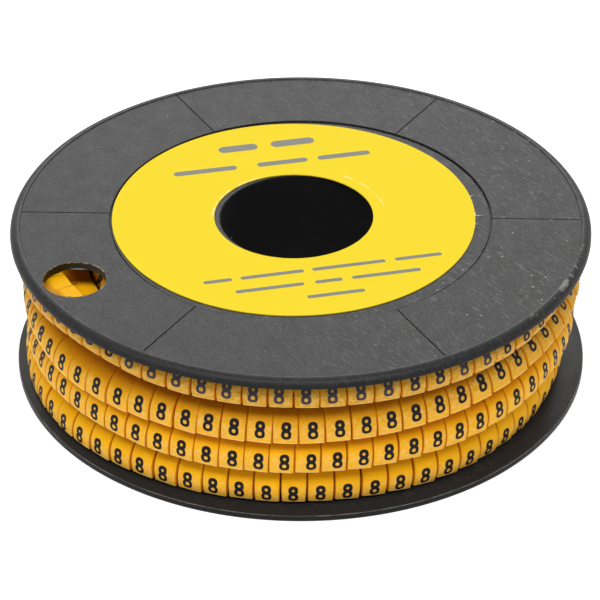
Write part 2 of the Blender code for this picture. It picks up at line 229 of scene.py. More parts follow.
# Cuts between markers: where up the face they close and end, and how they vary
CUT_CLOSES = 5.0
CUT_LEAST = 0.08
CUT_SHARE = 0.5
CUT_CURVE = 1.5
CUT_END = 7.5
CUT_FADE = 1.5
CUT_SPREAD = (0.5, 1.4)
# How much markers stray from their places, up to each of these
JITTER_LEAN = 1.2
JITTER_YAW = 1.4
JITTER_TURN = 0.6
JITTER_OUT = 0.04
JITTER_UP = 0.05

# Inner layers seen through the thread hole: face radius, lower edge, markers, first angle
# and how much deeper than usual their markers reach inwards
INNER_TURNS = ((42.6, 16.5, 65, 2.2, 1.1), (36.1, 19.9, 57, 5.4, 0.0))
OUTER_DEEPER = 2.3
INNER_GAP = 0.85
INNER_CUT = 0.1
# Inside of the winding: radius of its full height, then radius and top of each step outwards
CORE_RADIUS = 32.8
CORE_STEPS = ((37.2, 18.0), (42.4, 16.2))
CORE_SIDES = 144

# Digit: each loop's middle and half size, (across, up) both, then the width of their strokes.
# The ink is greyer on markers whose lower edge is above TOP_TURN.
LOW_LOOP = (0.0, 0.84, 0.82, 0.85)
HIGH_LOOP = (0.0, 2.15, 0.78, 0.80)
DIGIT_STROKES = (0.49, 0.55)
DIGIT_MIDDLE = 1.46
TOP_TURN = 20.5
LOOP_SIDES = 28
LOOP_SQUARE = 2.4
INK_HEIGHT = 0.03
INK_DEPTH = 0.03
INK_STRAY = 0.04
INK_HEAVIER = (-0.02, 0.03)
FACE_SAMPLE = 0.1

# Edges sharper than these stay sharp
SHARP_EDGE = 30.0
SHARP_STRIP = 50.0
SHARP_INK = 40.0

# Colours, as linear light
PLASTIC_DARK = (0.013, 0.013, 0.0133)
PLASTIC_PALE = (0.016, 0.016, 0.0163)
# Painted shade, for the bore and the foot of the rim walls
PLASTIC_SHADE = (0.003, 0.003, 0.003)
# Pale dust, scratches and wear, and also the colour of the painted highlight lines along the rims
DUST_AND_HIGHLIGHT = (0.30, 0.30, 0.28)
GRIT = (0.34, 0.32, 0.24)
# Painted bounce light: the brown that light from the yellow markers gives the thread hole's black
# wall
HOLE_WALL_BOUNCE = (0.028, 0.019, 0.003)
# Painted highlight: the pale, bluish colour of the back sliver of flash in the thread hole
BURR_HIGHLIGHT = (0.20, 0.21, 0.21)
HOLE_EDGE = (0.62, 0.52, 0.26)
VINYL_DARK = (0.91, 0.46, 0.004)
VINYL_PALE = (0.95, 0.50, 0.006)
VINYL_PATCH = (0.91, 0.44, 0.004)
# Painted shade: deeper orange at the markers' sides, in the cuts between them
VINYL_GROOVE_SHADE = (0.66, 0.24, 0.003)
# Painted shade: deep orange higher up each face, under the turn above
VINYL_UPPER_SHADE = (0.66, 0.19, 0.001)
# Painted shade: the vinyl darker towards the upper flange, in the shadow of its overhang
VINYL_FLANGE_SHADE = (0.52, 0.25, 0.004)
# Rubbed and brushed vinyl, and partly a painted sheen in the printed band
VINYL_RUBBED_AND_SHEEN = (0.88, 0.56, 0.20)
# Painted highlight along each marker's lower edge
VINYL_EDGE_HIGHLIGHT = (0.96, 0.74, 0.36)
# Painted shade: the winding behind the markers, darker than their vinyl
CORE_SHADE_DARK = (0.55, 0.22, 0.006)
CORE_SHADE_PALE = (0.70, 0.31, 0.008)
INK_DARK = (0.006, 0.005, 0.008)
INK_WORN = (0.20, 0.13, 0.07)
INK_GREY = (0.085, 0.075, 0.10)
PAPER_DARK = (0.90, 0.68, 0.017)
PAPER_PALE = (0.92, 0.70, 0.021)
PAPER_RUBBED = (0.96, 0.88, 0.45)
PAPER_TORN = (0.75, 0.68, 0.52)
PRINT_DARK = (0.085, 0.088, 0.075)
PRINT_PALE = (0.13, 0.13, 0.09)

# Unevenness of each surface: how fine it is, its detail and its roughness
PLASTIC_CLOUD = (60.0, 3.0)
PLASTIC_GRAIN = (2600.0, 2.0)
PLASTIC_SCUFF = (300.0, 4.0, 0.6)
PLASTIC_LINES = (1.0, 3.0, 0.6)
RIM_BREAKS = (260.0, 4.0, 0.65)
RIM_STREAKS = (6500.0, 3.0, 0.6)
RIM_PATCHES = (160.0, 4.0, 0.7)
HOLE_BREAKS = (900.0, 3.0, 0.7)
VINYL_MOTTLE = (1500.0, 4.0, 0.65)
VINYL_CLOUD = (350.0, 3.0, 0.6)
VINYL_BRUSHED = (4200.0, 4.0, 0.7)
CORE_CLOUD = (400.0, 3.0, 0.6)
INK_SPOTS = (2600.0, 3.0, 0.6)
PAPER_FIBRE = (1800.0, 4.0, 0.65)
PAPER_CLOUD = (70.0, 2.0)
PAPER_BREAKS = (650.0, 3.0, 0.6)
PRINT_CLOUD = (900.0, 3.0, 0.6)
# Scratches run one way: how fine they are along three axes, turned round the upright one
LINE_SCALE = (2600.0, 520.0, 500.0)
LINE_TURN = 35.0
# Specks: how fine, their size and the share of places that have one
DUST_SPECKS = (420.0, 0.10, 0.05)
FINE_SPECKS = (1300.0, 0.20, 0.12)
GRIT_SPECKS = (900.0, 0.20, 0.16)
# Between these heights neither flange has a wall
UPPER_HALF = (20, 21)
# How little the streaks along the rims and the markers change on the way round
RIM_AROUND = 0.0006
VINYL_AROUND = 0.010
# The rim is rubbed pale round this angle, in radians
RUBBED_ANGLE = -0.42
PLASTIC_SPECULAR = 0.15
VINYL_SPECULAR = 0.04
INK_SPECULAR = 0.15
PAPER_SPECULAR = 0.03

# Studio: strength of the world and the floor, then each lamp's place and size in metres, and
# its power in watts
WORLD_LEVEL = 0.05
FLOOR_GLOW = 0.55
FLOOR_BOUNCE = 0.6
FLOOR_GREY = 0.88
FLOOR_HALF = 3000.0
FLOOR_LEVEL = -0.05
LAMP_AIM = (0.0, 0.0, 0.015)
WHITE = (1.0, 1.0, 1.0, 1.0)
LAMPS = (
    ("back_softbox", (0.0, 0.80, 0.60), (0.75, 0.5), 4.75),
    ("high_front", (-0.06, -0.42, 0.96), (1.5, 0.35), 11.4),
)

# What follows from these
DISC_TOP = REEL_HEIGHT - RIM_RISE
RECESS_FLOOR = DISC_TOP - RECESS_DEPTH
RIM_INNER = FLANGE_RADIUS - RIM_ROUND - RIM_FLAT
UPPER_FACE = REEL_HEIGHT - FLANGE_EDGE
LOWER_FACE = FLANGE_EDGE
TUBE_RADIUS = BORE_RADIUS + TUBE_WALL
WINDING_BORE = DRUM_RADIUS + FIT_GAP
WINDING_TOP = UPPER_FACE - FIT_GAP
WINDING_BOTTOM = LOWER_FACE + FIT_GAP
# Slivers of flash in the thread hole: first and last angle, reach, lowest and highest point. The
# back one is coloured pale and bluish, a painted highlight at the foot of the far wall.
BURR_BACK_HIGHLIGHT = (72.0, 102.0, 0.28, UPPER_FACE + 0.02, UPPER_FACE + 0.12)
BURR_FRONT = (258.0, 268.0, 0.35, DISC_TOP - 0.35, DISC_TOP - 0.05)


def polar(distance, degrees):
    """(x, y) at a distance and angle."""
    return distance * math.cos(math.radians(degrees)), distance * math.sin(math.radians(degrees))


THREAD_HOLE = polar(THREAD_HOLE_DISTANCE, THREAD_HOLE_ANGLE)
# Total angle of every station, turn after turn along the strip
TURNS = range(len(TURN_HEIGHTS))
STATION_LINE = [angle + 360.0 * turn for turn in TURNS for angle in STATION_ANGLES]
COUNTS = tuple(zip(*COUNT_STATIONS))


def value_at(table, angle):
    """The table's value at a total angle, eased over its stations."""
    spread = angle + STATION_BLEND * np.array((-1.0, -0.5, 0.0, 0.5, 1.0))
    return float(np.mean(np.interp(spread, STATION_LINE, np.ravel(table))))


def edge_at(angle):
    """(radius, height) of the strip's lower edge at a total angle."""
    radius = WINDING_RADIUS - value_at(TURN_INSETS, angle)
    return radius, value_at(TURN_HEIGHTS, angle)


def along_count(value, places, results, slope):
    """A result between counted places, carried on at an even slope past their ends."""
    if value < places[0]:
        return float(results[0] - (places[0] - value) * slope)
    if value > places[-1]:
        return float(results[-1] + (value - places[-1]) * slope)
    return float(np.interp(value, places, results))


def count_at(angle):
    """The counted marker, with its fraction, at a total angle."""
    return along_count(angle, *COUNTS, 1 / COUNT_PITCH)


def angle_of(count):
    """The total angle at which a counted marker's digit stands."""
    return along_count(count, *COUNTS[::-1], COUNT_PITCH)


# Meshes


def new_object(name, data):
    obj = bpy.data.objects.new(name, data)
    bpy.context.scene.collection.objects.link(obj)
    return obj


def mesh_object(name, vertices, faces, sharp=SHARP_EDGE):
    """A mesh object from points in millimetres, with its faces pointing out."""
    mesh = bpy.data.meshes.new(name)
    mesh.from_pydata([tuple(c * MM for c in point) for point in vertices], [], faces)
    shape = bmesh.new()
    shape.from_mesh(mesh)
    bmesh.ops.recalc_face_normals(shape, faces=shape.faces)
    shape.to_mesh(mesh)
    shape.free()
    mesh.shade_smooth()
    mesh.set_sharp_from_angle(angle=math.radians(sharp))
    return new_object(name, mesh)


def band_faces(base, columns, count, closed=True):
    """Faces between columns that are closed loops of count points, from vertex base on."""
    faces = []
    for index in range(columns if closed else columns - 1):
        here, ahead = base + index * count, base + (index + 1) % columns * count
        for i in range(count):
            j = (i + 1) % count
            faces.append((here + i, here + j, ahead + j, ahead + i))
    return faces


def prism_faces(base, count):
    """Faces of a closed prism between two outlines of count points, from vertex base on."""
    ends = [tuple(range(start, start + count)) for start in (base, base + count)]
    return band_faces(base, 2, count, closed=False) + ends


def turned(name, profile, sides):
    """A closed profile of (radius, height) points turned round the reel's axis."""
    vertices = []
    for side in range(sides):
        for radius, height in profile:
            vertices.append((*polar(radius, 360.0 * side / sides), height))
    return mesh_object(name, vertices, band_faces(0, sides, len(profile)))


def arc(centre, across, up, start, end, steps):
    """Points on part of an ellipse, from one angle to another."""
    points = []
    for step in range(steps + 1):
        angle = math.radians(start + (end - start) * step / steps)
        points.append((centre[0] + across * math.cos(angle), centre[1] + up * math.sin(angle)))
    return points


def rim_points():
    """From the foot of the raised rim, over its rounded edge, to the winding face."""
    points = [(RIM_INNER + out, REEL_HEIGHT - left * RIM_RISE) for out, left in RIM_STEP]
    across = FLANGE_RADIUS - RIM_INNER - RIM_TOP_END
    centre = (FLANGE_RADIUS - across, REEL_HEIGHT - RIM_ROUND)
    points += arc(centre, across, RIM_ROUND, 90, 0, RIM_STEPS)
    points.append((FLANGE_RADIUS, UPPER_FACE + EDGE_BREAK))
    points.append((FLANGE_RADIUS - EDGE_NIP, UPPER_FACE + EDGE_NIP))
    points.append((FLANGE_RADIUS - EDGE_BREAK, UPPER_FACE))
    return points


def lower_rim_points():
    """From the winding face, which slopes to a thin edge, round to the foot of the lower rim."""
    points = [(LOWER_SLOPE_START, LOWER_FACE), (FLANGE_RADIUS - EDGE_BREAK, LOWER_EDGE)]
    points.append((FLANGE_RADIUS - EDGE_NIP, LOWER_EDGE - EDGE_NIP))
    points.append((FLANGE_RADIUS, LOWER_EDGE - EDGE_BREAK))
    centre = (FLANGE_RADIUS - LOWER_RIM_ROUND, LOWER_RIM_ROUND)
    points += arc(centre, LOWER_RIM_ROUND, LOWER_RIM_ROUND, 0, -90, EDGE_STEPS)
    return points + [(RIM_INNER + out, left * RIM_RISE) for out, left in RIM_STEP[::-1]]


def upper_profile():
    """The upper flange and its bore tube, from the bore's edge out over the top and back."""
    centre = (BORE_RADIUS + BORE_EDGE_ROUND, RECESS_FLOOR - BORE_EDGE_ROUND)
    ring, ring_floor = RECESS_RADIUS - RING_WIDTH, RECESS_FLOOR - RING_DEPTH
    points = arc(centre, BORE_EDGE_ROUND, BORE_EDGE_ROUND, 180, 90, EDGE_STEPS)
    points += [(ring, RECESS_FLOOR), (ring + RING_SLOPES[0], ring_floor)]
    points += [(RECESS_RADIUS - RING_SLOPES[1], ring_floor)]
    points += [(RECESS_RADIUS, DISC_TOP - RECESS_EDGE), (RECESS_RADIUS + RECESS_EDGE, DISC_TOP)]
    points += rim_points()
    points += [(TUBE_RADIUS, UPPER_FACE), (TUBE_RADIUS, TUBE_INSET)]
    points += [(BORE_RADIUS + TUBE_CHAMFER, TUBE_INSET), (BORE_RADIUS, TUBE_INSET + TUBE_CHAMFER)]
    return points


def lower_profile():
    """The lower flange with its drum, from the drum's top out under the flange and back."""
    inside = DRUM_RADIUS - DRUM_WALL
    socket = TUBE_RADIUS + FIT_GAP
    floor = REEL_HEIGHT - RECESS_FLOOR
    points = [(inside, WINDING_TOP), (DRUM_RADIUS, WINDING_TOP), (DRUM_RADIUS, LOWER_FACE)]
    points += lower_rim_points()
    points += [(RECESS_RADIUS, RIM_RISE), (RECESS_RADIUS, floor)]
    points += [(socket, floor), (socket, LOWER_FACE), (inside, LOWER_FACE)]
    return points


def groove_cutter(height):
    """Thin bars from the label recess to the rim, half sunk in the flange."""
    vertices, faces = [], []
    half, deep = GROOVE_WIDTH / 2, GROOVE_DEPTH
    foot = half * GROOVE_FOOT_SHARE
    for index in range(GROOVE_COUNT):
        turn = GROOVE_TURN + index * 360.0 / GROOVE_COUNT
        out, side = polar(1.0, turn), polar(1.0, turn + 90)
        faces += prism_faces(len(vertices), 4)
        for radius in (RECESS_RADIUS - GROOVE_OVERLAP, RIM_INNER):
            for across, up in ((-half, deep), (half, deep), (foot, -deep), (-foot, -deep)):
                x = out[0] * radius + side[0] * across
                y = out[1] * radius + side[1] * across
                vertices.append((x, y, height + up))
    return mesh_object("groove_cutter", vertices, faces)


def ragged_disc(name, radius, centre, low, high, sides, rough):
    """An upright closed cylinder whose wall wanders a little, as a hand-cleaned hole's does."""
    waves = []
    for _ in range(WAVE_COUNT):
        turns = DRAWS.randint(*WAVE_TURNS)
        phase = DRAWS.uniform(0, WAVE_PHASE)
        waves.append((turns, phase, DRAWS.uniform(*WAVE_SIZES)))
    vertices = []
    for height in (low, high):
        for side in range(sides):
            angle = 2 * math.pi * side / sides
            wander = sum(size * math.sin(turns * angle + phase) for turns, phase, size in waves)
            reach = radius + rough * wander / len(waves)
            x = centre[0] + reach * math.cos(angle)
            y = centre[1] + reach * math.sin(angle)
            vertices.append((x, y, height))
    return mesh_object(name, vertices, prism_faces(0, sides))


def cut(obj, *cutters):
    """The object with the cutters taken out of it, as plain mesh. The cutters go."""
    for cutter in cutters:
        modifier = obj.modifiers.new("cut", "BOOLEAN")
        modifier.operation = "DIFFERENCE"
        modifier.solver = "EXACT"
        modifier.object = cutter
    view = bpy.context.evaluated_depsgraph_get()
    mesh = bpy.data.meshes.new_from_object(obj.evaluated_get(view))
    obj.modifiers.clear()
    obj.data = mesh
    mesh.set_sharp_from_angle(angle=math.radians(SHARP_EDGE))
    for cutter in cutters:
        bpy.data.objects.remove(cutter)
    return obj


# Strip of markers


def face_path():
    """The marker's face, from its lower edge up and over its round top."""
    points = list(FACE_START)
    for step in range(FACE_STEPS + 1):
        turn = math.radians(FACE_END * step / FACE_STEPS)
        out = -FACE_ROUND * (1 - math.cos(turn))
        points.append((out, FACE_FOOT + FACE_ROUND * math.sin(turn)))
    return points + list(TOP_POINTS)


OUTLINE = list(UNDER_POINTS) + face_path() + list(BACK_POINTS)
UNDER_COUNT = len(UNDER_POINTS)


def section(tall, lean, deeper):
    """A marker's closed outline (out, up) and how far along it each point lies from its edge.

    It is squeezed to a height, leans out by some degrees and reaches deeper by a distance.
    """
    cos, sin = polar(1.0, lean)
    points = []
    for out, up in OUTLINE:
        if out <= TOP_POINTS[0][0]:
            out -= deeper
        up *= tall / SECTION_TALL
        points.append((out * cos + up * sin, up * cos - out * sin))
    along = [0.0]
    for here, ahead in zip(points, points[1:]):
        along.append(along[-1] + math.dist(here, ahead))
    zero = along[UNDER_COUNT]
    return points, [value - zero for value in along]


class Marker:
    """One marker: where it stands, its section and its place in the strip."""

    def __init__(
        self, angle, width, radius, height, tall, deeper, lean, slope, cut_width, gap, offset
    ):
        self.angle = angle
        self.width = width
        self.radius = radius + DRAWS.uniform(-1, 1) * JITTER_OUT
        self.height = height + DRAWS.uniform(-1, 1) * JITTER_UP
        self.yaw = math.tan(math.radians(DRAWS.uniform(-1, 1) * JITTER_YAW))
        self.slope = slope + math.tan(math.radians(DRAWS.uniform(-1, 1) * JITTER_TURN))
        lean += DRAWS.uniform(-1, 1) * JITTER_LEAN
        self.points, self.along = section(tall, lean, deeper)
        self.cut_low = max(cut_width * DRAWS.uniform(*CUT_SPREAD), CUT_LEAST)
        self.gap = gap
        self.offset = offset
        self.shade = DRAWS.uniform(-1, 1)

    def place(self, across, out, up):
        """A point in the reel from a distance across, out and up from the edge's middle."""
        cos, sin = polar(1.0, self.angle)
        radius = self.radius + out + across * self.yaw
        side = across - up * self.slope
        x = radius * cos - side * sin
        y = radius * sin + side * cos
        return x, y, min(self.height + up + across * self.slope, WINDING_TOP)

    def half_width(self, out, along):
        """Half the marker's width at a point of its section."""
        closing = min(max(along, 0.0) / CUT_CLOSES, 1.0)
        gape = self.cut_low * (CUT_SHARE + (1 - CUT_SHARE) * (1 - closing) ** CUT_CURVE)
        gape *= min(max((CUT_END - along) / CUT_FADE, 0.0), 1.0)
        return (self.width * (self.radius + out) / self.radius - gape) / 2

    def columns(self):
        """The marker's skin as columns of points, from one side of it to the other."""
        columns = []
        for share, drawn in ACROSS:
            column = []
            for (out, up), along in zip(self.points, self.along):
                half = self.half_width(out, along)
                inward = drawn if DRAWN_IN[0] < along < DRAWN_IN[1] else 0.0
                column.append(self.place(share * half, out - inward, up))
            columns.append(column)
        return columns

    def on_face(self, across, along, lift):
        """A point on the marker's face, lifted off it by a little."""
        outs, ups = zip(*self.points)
        spots = (along - FACE_SAMPLE, along, along + FACE_SAMPLE)
        back, here, ahead = (
            (np.interp(spot, self.along, outs), np.interp(spot, self.along, ups))
            for spot in spots
        )
        rise = math.dist(back, ahead)
        normal = (ahead[1] - back[1]) / rise, -(ahead[0] - back[0]) / rise
        return self.place(across, here[0] + normal[0] * lift, here[1] + normal[1] * lift)


class Build:
    """Vertices and faces gathered for one mesh, with values kept for each vertex."""

    def __init__(self):
        self.vertices, self.faces, self.values = [], [], []

    def band(self, columns, values, closed=True):
        """Skin over columns that run round a section. Gives the number of its first vertex."""
        base = len(self.vertices)
        for column, column_values in zip(columns, values):
            self.vertices += column
            self.values += column_values
        self.faces += band_faces(base, len(columns), len(columns[0]), closed)
        return base

    def capped_band(self, columns, values):
        """A band with both ends closed."""
        base, count = self.band(columns, values, closed=False), len(columns[0])
        last = base + (len(columns) - 1) * count
        self.faces.append(tuple(range(base, base + count)))
        self.faces.append(tuple(range(last + count - 1, last - 1, -1)))

    def finish(self, name, names, sharp):
        """The object, with each named value kept on its points."""
        obj = mesh_object(name, self.vertices, self.faces, sharp)
        for index, value_name in enumerate(names):
            layer = obj.data.attributes.new(value_name, "FLOAT", "POINT")
            layer.data.foreach_set("value", [value[index] for value in self.values])
        return obj


def outer_markers():
    """Every marker of the outer layer, from its inner end at the bottom to its cut end."""
    markers = []
    count = math.ceil(count_at(STRIP_START)) + 1
    while angle_of(count) < STRIP_END:
        digit = angle_of(count)
        pitch = angle_of(count + 0.5) - angle_of(count - 0.5)
        radius = edge_at(digit)[0]
        offset = value_at(DIGIT_OFFSETS, digit)
        climb = edge_at(digit + CLIMB_SPAN)[1] - edge_at(digit - CLIMB_SPAN)[1]
        climb /= math.radians(2 * CLIMB_SPAN) * radius
        slope = climb - math.tan(math.radians(value_at(TURN_TIPS, digit)))
        gap = value_at(DIGIT_GAPS, digit)
        beside = offset - slope * (gap + DIGIT_MIDDLE)
        angle = digit - math.degrees(beside / radius)
        radius, height = edge_at(angle)
        tall = min(SECTION_TALL, WINDING_TOP - height)
        width = math.radians(pitch) * radius
        markers.append(
            Marker(
                angle, width, radius, height, tall, OUTER_DEEPER, value_at(TURN_LEANS, angle),
                slope, value_at(CUT_WIDTHS, angle), gap, offset,
            )
        )
        count += 1
    return markers


def inner_markers():
    """Markers of the inner layers' top turns, which lie evenly round the reel."""
    markers = []
    for radius, height, count, first, deeper in INNER_TURNS:
        pitch = 360.0 / count
        width = math.radians(pitch) * radius
        for index in range(count):
            angle = first + index * pitch
            markers.append(
                Marker(
                    angle, width, radius, height, SECTION_TALL, deeper, 0, 0,
                    INNER_CUT, INNER_GAP, 0,
                )
            )
    return markers


def build_strip(markers):
    """The markers as one mesh. Each point keeps its distance up the face from the edge and
    from the digit's foot, its marker's shade, and how near it is to the marker's side."""
    build = Build()
    for marker in markers:
        values = []
        for share, _ in ACROSS:
            row = [(along, along - marker.gap, marker.shade, abs(share)) for along in marker.along]
            values.append(row)
        build.capped_band(marker.columns(), values)
    return build.finish("marker_strip_turns", ("along", "print", "shade", "side"), SHARP_STRIP)


def build_core():
    """The inside of the winding, behind its outer layer."""
    profile = [(WINDING_BORE, WINDING_BOTTOM), (WINDING_BORE, WINDING_TOP)]
    profile.append((CORE_RADIUS, WINDING_TOP))
    start = CORE_RADIUS
    for radius, top in CORE_STEPS:
        profile += [(start, top), (radius, top)]
        start = radius
    profile.append((start, WINDING_BOTTOM))
    return turned("marker_strip_core", profile, CORE_SIDES)


def loop_points(loop, grow):
    """Points round one loop of the digit, grown or shrunk by a little."""
    across, up, half_across, half_up = loop
    points = []
    for side in range(LOOP_SIDES):
        angle = 2 * math.pi * side / LOOP_SIDES
        cos, sin = math.cos(angle), math.sin(angle)
        reach = (abs(cos) ** LOOP_SQUARE + abs(sin) ** LOOP_SQUARE) ** (-1 / LOOP_SQUARE)
        points.append((across + (half_across + grow) * cos * reach,
                       up + (half_up + grow) * sin * reach))
    return points


def build_digits(markers):
    """The digit 8 on every marker, each loop a thin closed ring of ink."""
    build = Build()
    for marker in markers:
        side = marker.offset + DRAWS.uniform(-INK_STRAY, INK_STRAY)
        foot = marker.gap + DRAWS.uniform(-INK_STRAY, INK_STRAY)
        heavier = DRAWS.uniform(*INK_HEAVIER)
        fade = DRAWS.random()
        if marker.height > TOP_TURN:
            fade += 1.0
        for loop, stroke in zip((LOW_LOOP, HIGH_LOOP), DIGIT_STROKES):
            outside = loop_points(loop, 0.0)
            inside = loop_points(loop, -stroke - heavier)
            columns = []
            for out, within in zip(outside, inside):
                corners = (
                    (out, INK_HEIGHT), (within, INK_HEIGHT), (within, -INK_DEPTH), (out, -INK_DEPTH)
                )
                columns.append([
                    marker.on_face(side + x, foot + y, lift) for (x, y), lift in corners
                ])
            build.band(columns, [[(fade,)] * len(column) for column in columns])
    return build.finish("marker_digits", ("fade",), SHARP_INK)


# Materials


def new_material(name):
    """A new material, its node tree and its shader."""
    material = bpy.data.materials.new(name)
    material.use_nodes = True
    tree = material.node_tree
    return material, tree, tree.nodes["Principled BSDF"]


def put(socket, value):
    """Gives an input a plain value or another node's output."""
    if isinstance(value, bpy.types.NodeSocket):
        socket.id_data.links.new(value, socket)
    else:
        socket.default_value = value


def fill(node, **values):
    """Fills a node's inputs by name. A space in a name is written as an underscore."""
    for name, value in values.items():
        put(node.inputs[name.replace("_", " ")], value)


def add(tree, kind, **settings):
    """A new node with some of its own settings."""
    node = tree.nodes.new(kind)
    for key, value in settings.items():
        setattr(node, key, value)
    return node


def on_object(tree):
    """Where a point lies in its object, in metres."""
    return add(tree, "ShaderNodeTexCoord").outputs["Object"]


def noise(tree, scale, detail=2.0, roughness=0.5, where=None, distortion=0.0):
    node = add(tree, "ShaderNodeTexNoise")
    fill(node, Scale=scale, Detail=detail, Roughness=roughness, Distortion=distortion)
    fill(node, Vector=where or on_object(tree))
    return node.outputs["Fac"]


def stretched(tree, scale, turn):
    """Object coordinates turned round the upright axis and scaled unevenly."""
    node = add(tree, "ShaderNodeMapping", vector_type="TEXTURE")
    sizes = tuple(1.0 / part for part in scale)
    fill(node, Rotation=(0, 0, math.radians(turn)), Scale=sizes, Vector=on_object(tree))
    return node.outputs["Vector"]


def ramp(value, start, end, low=0.0, high=1.0):
    """low up to the start of a value's range, high from its end on, and eased between."""
    node = add(value.id_data, "ShaderNodeMapRange", interpolation_type="SMOOTHSTEP")
    fill(node, Value=value, From_Min=start, From_Max=end, To_Min=low, To_Max=high)
    return node.outputs["Result"]


def ramp_mm(value, start, end, low=0.0, high=1.0):
    """A ramp between two lengths in millimetres."""
    return ramp(value, start * MM, end * MM, low, high)


def maths(operation, *values):
    """One sum. The first value is a node's output, whose tree it goes into."""
    node = add(values[0].id_data, "ShaderNodeMath", operation=operation)
    for socket, value in zip(node.inputs, values):
        put(socket, value)
    return node.outputs["Value"]


def product(*values):
    return functools.reduce(lambda first, second: maths("MULTIPLY", first, second), values)


def most(*values):
    """The largest of some values."""
    return functools.reduce(lambda first, second: maths("MAXIMUM", first, second), values)


def apart(value, middle):
    """How far a value lies from a middle one, either way."""
    return maths("ABSOLUTE", maths("SUBTRACT", value, middle))


def blend(factor, first, second):
    """A colour between two colours, each a node's output or three numbers."""
    node = add(factor.id_data, "ShaderNodeMix", data_type="RGBA")
    put(node.inputs[0], factor)
    for socket, value in ((node.inputs[6], first), (node.inputs[7], second)):
        put(socket, (*value, 1.0) if isinstance(value, tuple) else value)
    return node.outputs[2]


def relief(shader, *bumps):
    """Fine relief, one bump on another: each is a value, its strength and its depth."""
    normal = None
    for height, strength, depth in bumps:
        node = add(height.id_data, "ShaderNodeBump")
        fill(node, Height=height, Strength=strength, Distance=depth)
        if normal:
            fill(node, Normal=normal)
        normal = node.outputs["Normal"]
    fill(shader, Normal=normal)


def attribute(tree, name):
    return add(tree, "ShaderNodeAttribute", attribute_name=name).outputs["Fac"]


def specks(tree, scale, size, share):
    """Small round specks scattered over a surface, on a share of the cells."""
    cells = add(tree, "ShaderNodeTexVoronoi")
    fill(cells, Scale=scale, Vector=on_object(tree))
    pick = add(tree, "ShaderNodeSeparateColor")
    fill(pick, Color=cells.outputs["Color"])
    near = ramp(cells.outputs["Distance"], size * 0.5, size, 1.0, 0.0)
    return product(near, ramp(pick.outputs["Red"], 1 - share, 1 - share * 0.6))


def distance_from(tree, centre):
    """A point's distance from an upright axis, its angle round that axis, and its height."""
    split = add(tree, "ShaderNodeSeparateXYZ")
    fill(split, Vector=on_object(tree))
    x = maths("SUBTRACT", split.outputs["X"], centre[0] * MM)
    y = maths("SUBTRACT", split.outputs["Y"], centre[1] * MM)
    distance = maths("SQRT", maths("ADD", product(x, x), product(y, y)))
    return distance, maths("ARCTAN2", y, x), split.outputs["Z"]


def combined(tree, **parts):
    """A place made of the parts X, Y and Z that are given."""
    node = add(tree, "ShaderNodeCombineXYZ")
    fill(node, **parts)
    return node.outputs["Vector"]


def highlight_and_wear_line(distance, height, radius, width, level, strength):
    """A thin pale ring at a radius, just under a level of the reel: a painted highlight along a
    rim's edge, which also stands for a little wear.
    """
    line = ramp_mm(apart(distance, radius * MM), 0.3 * width, width, strength, 0.0)
    above = ramp_mm(height, level - 0.5, level - 0.4)
    below = ramp_mm(height, level + 0.05, level + 0.15, 1.0, 0.0)
    return product(line, above, below)


def rim_highlights_and_wear(tree):
    """Pale marks on the rims: thin broken lines, which are painted highlights along the rims' edges
    and a little wear, streaks of wear along them and a few rubbed patches.
    """
    distance, angle, height = distance_from(tree, (0.0, 0.0))
    upper = highlight_and_wear_line(distance, height, RIM_HIGHLIGHT_LINE, 0.22, REEL_HEIGHT, 0.16)
    lower = highlight_and_wear_line(distance, height, LOWER_HIGHLIGHT_LINE, 0.13, FLANGE_EDGE, 0.55)
    broken = ramp(noise(tree, *RIM_BREAKS), 0.38, 0.6, 0.35, 1.0)
    lines = product(most(upper, lower), broken)
    around = combined(tree, X=distance, Y=height, Z=product(angle, RIM_AROUND))
    on_rim = ramp_mm(distance, RIM_INNER, RIM_INNER + 0.3)
    on_top = ramp_mm(height, REEL_HEIGHT - 0.35, REEL_HEIGHT - 0.1)
    streaks = ramp(noise(tree, *RIM_STREAKS, around), 0.52, 0.72, 0.0, 0.05)
    streaks = product(streaks, on_rim, on_top)
    patches = ramp(noise(tree, *RIM_PATCHES, None, 0.4), 0.54, 0.62, 0.0, 0.7)
    right = ramp(apart(angle, RUBBED_ANGLE), 0.1, 0.5, 1.0, 0.0)
    rubbed = product(patches, right, on_top, on_rim)
    return most(lines, streaks, rubbed)


def hole_bounce_and_wear(tree):
    """The thread hole's wall, coloured brown as painted light bounced from the yellow markers, and
    its ragged pale edge, each as a share from 0 to 1.
    """
    distance, _, height = distance_from(tree, THREAD_HOLE)
    outside = THREAD_HOLE_RADIUS + 0.08
    wall = ramp_mm(distance, outside, outside + 0.05, 1.0, 0.0)
    wall = product(wall, ramp_mm(height, *UPPER_HALF))
    high = ramp_mm(height, DISC_TOP - 0.2, DISC_TOP - 0.05)
    near = ramp_mm(distance, outside, outside + 0.12, 1.0, 0.0)
    broken = ramp(noise(tree, *HOLE_BREAKS), 0.50, 0.60)
    return wall, product(high, near, broken)


def rim_wall_shade(distance, height):
    """Painted shade on the upright walls of both rims, darker towards their lower edge."""
    on_wall = ramp_mm(distance, FLANGE_RADIUS - 0.5, FLANGE_RADIUS - 0.2)
    lower = ramp_mm(height, LOWER_EDGE - 0.2, LOWER_EDGE - 0.1, 0.8, 0.0)
    upper = ramp_mm(height, UPPER_FACE + 0.1, UPPER_FACE + 1.0, 0.8, 0.0)
    upper = product(upper, ramp_mm(height, *UPPER_HALF))
    return product(most(lower, upper), on_wall)


